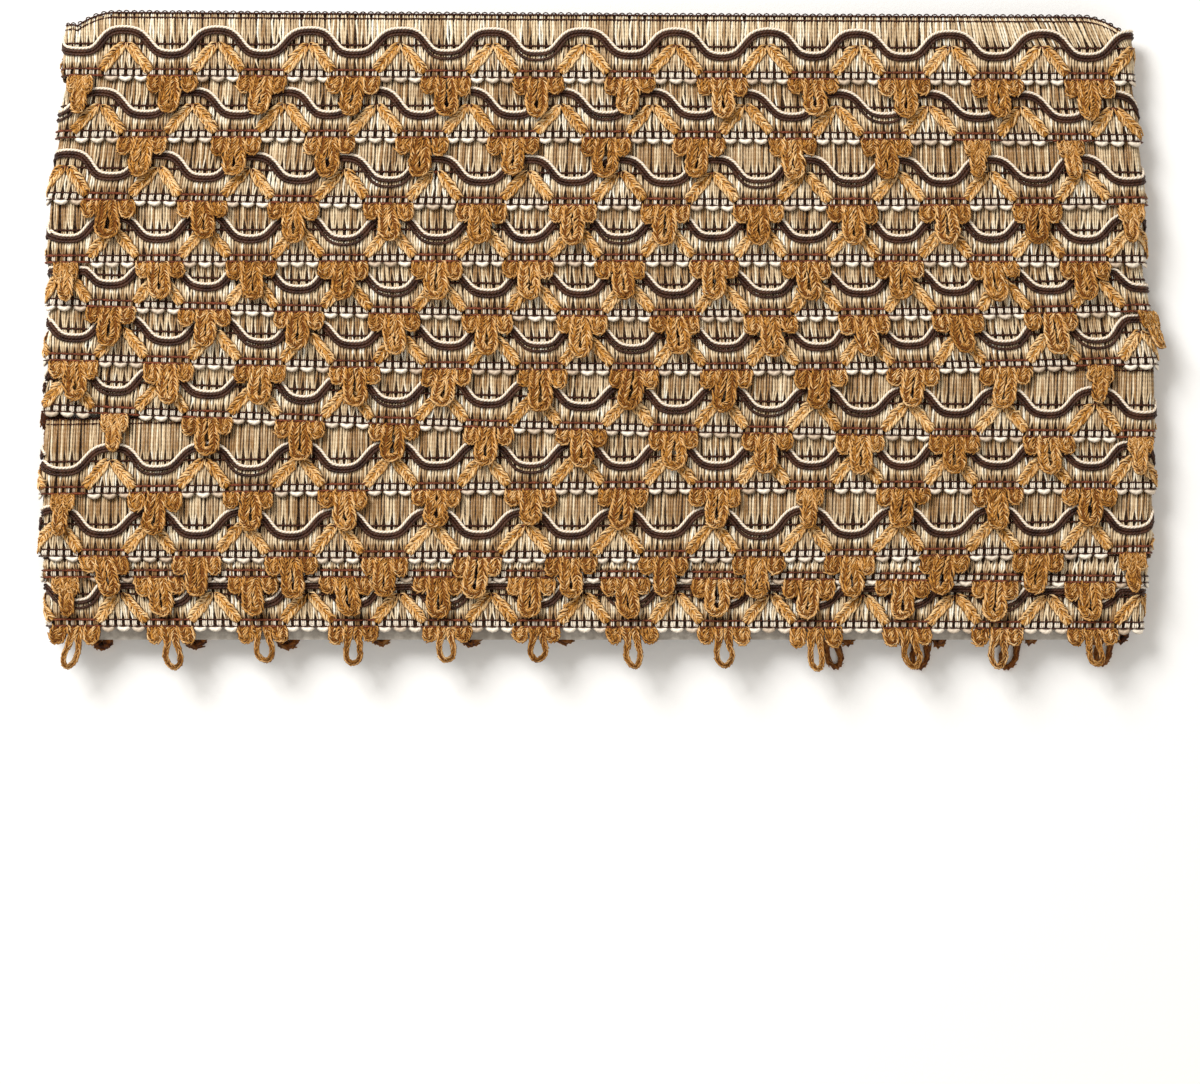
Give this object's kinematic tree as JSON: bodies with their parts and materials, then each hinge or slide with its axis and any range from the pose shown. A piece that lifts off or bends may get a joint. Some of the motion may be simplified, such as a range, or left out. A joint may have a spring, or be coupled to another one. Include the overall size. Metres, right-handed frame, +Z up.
{
  "type": "wound braided ribbon trim",
  "caption": "Hank of scroll gimp trim with a looped edge and a waving two-tone cord, wound flat in overlapping turns round a thin card.",
  "frame": {"origin": "middle of the underside, on the surface that the hank lies on", "axes": "+X along the turns, +Y towards the hank's top edge, +Z up out of its face"},
  "size_m": [0.3168, 0.1846, 0.0136],
  "materials": {
    "braid": "glossy beige gold weft over a dark brown warp, ribbed across the band",
    "cord": "two dark brown cords side by side with one cream cord above them",
    "loops": "soft thick gold chainette yarn, matt",
    "card": "plain grey paper board, matt"
  },
  "bodies": {
    "root": {"wound_braid": "braid", "card": "card", "scroll_cord_01": "cord", "scroll_cord_02": "cord", "scroll_cord_03": "cord", "scroll_cord_04": "cord", "scroll_cord_05": "cord", "scroll_cord_06": "cord", "scroll_cord_07": "cord", "scroll_cord_08": "cord", "scroll_cord_09": "cord", "scroll_cord_10": "cord", "scroll_cord_11": "cord", "loop_edge_01": "loops", "loop_edge_02": "loops", "loop_edge_03": "loops", "loop_edge_04": "loops", "loop_edge_05": "loops", "loop_edge_06": "loops", "loop_edge_07": "loops", "loop_edge_08": "loops", "loop_edge_09": "loops", "loop_edge_10": "loops", "loop_edge_11": "loops"}
  },
  "joints": []
}
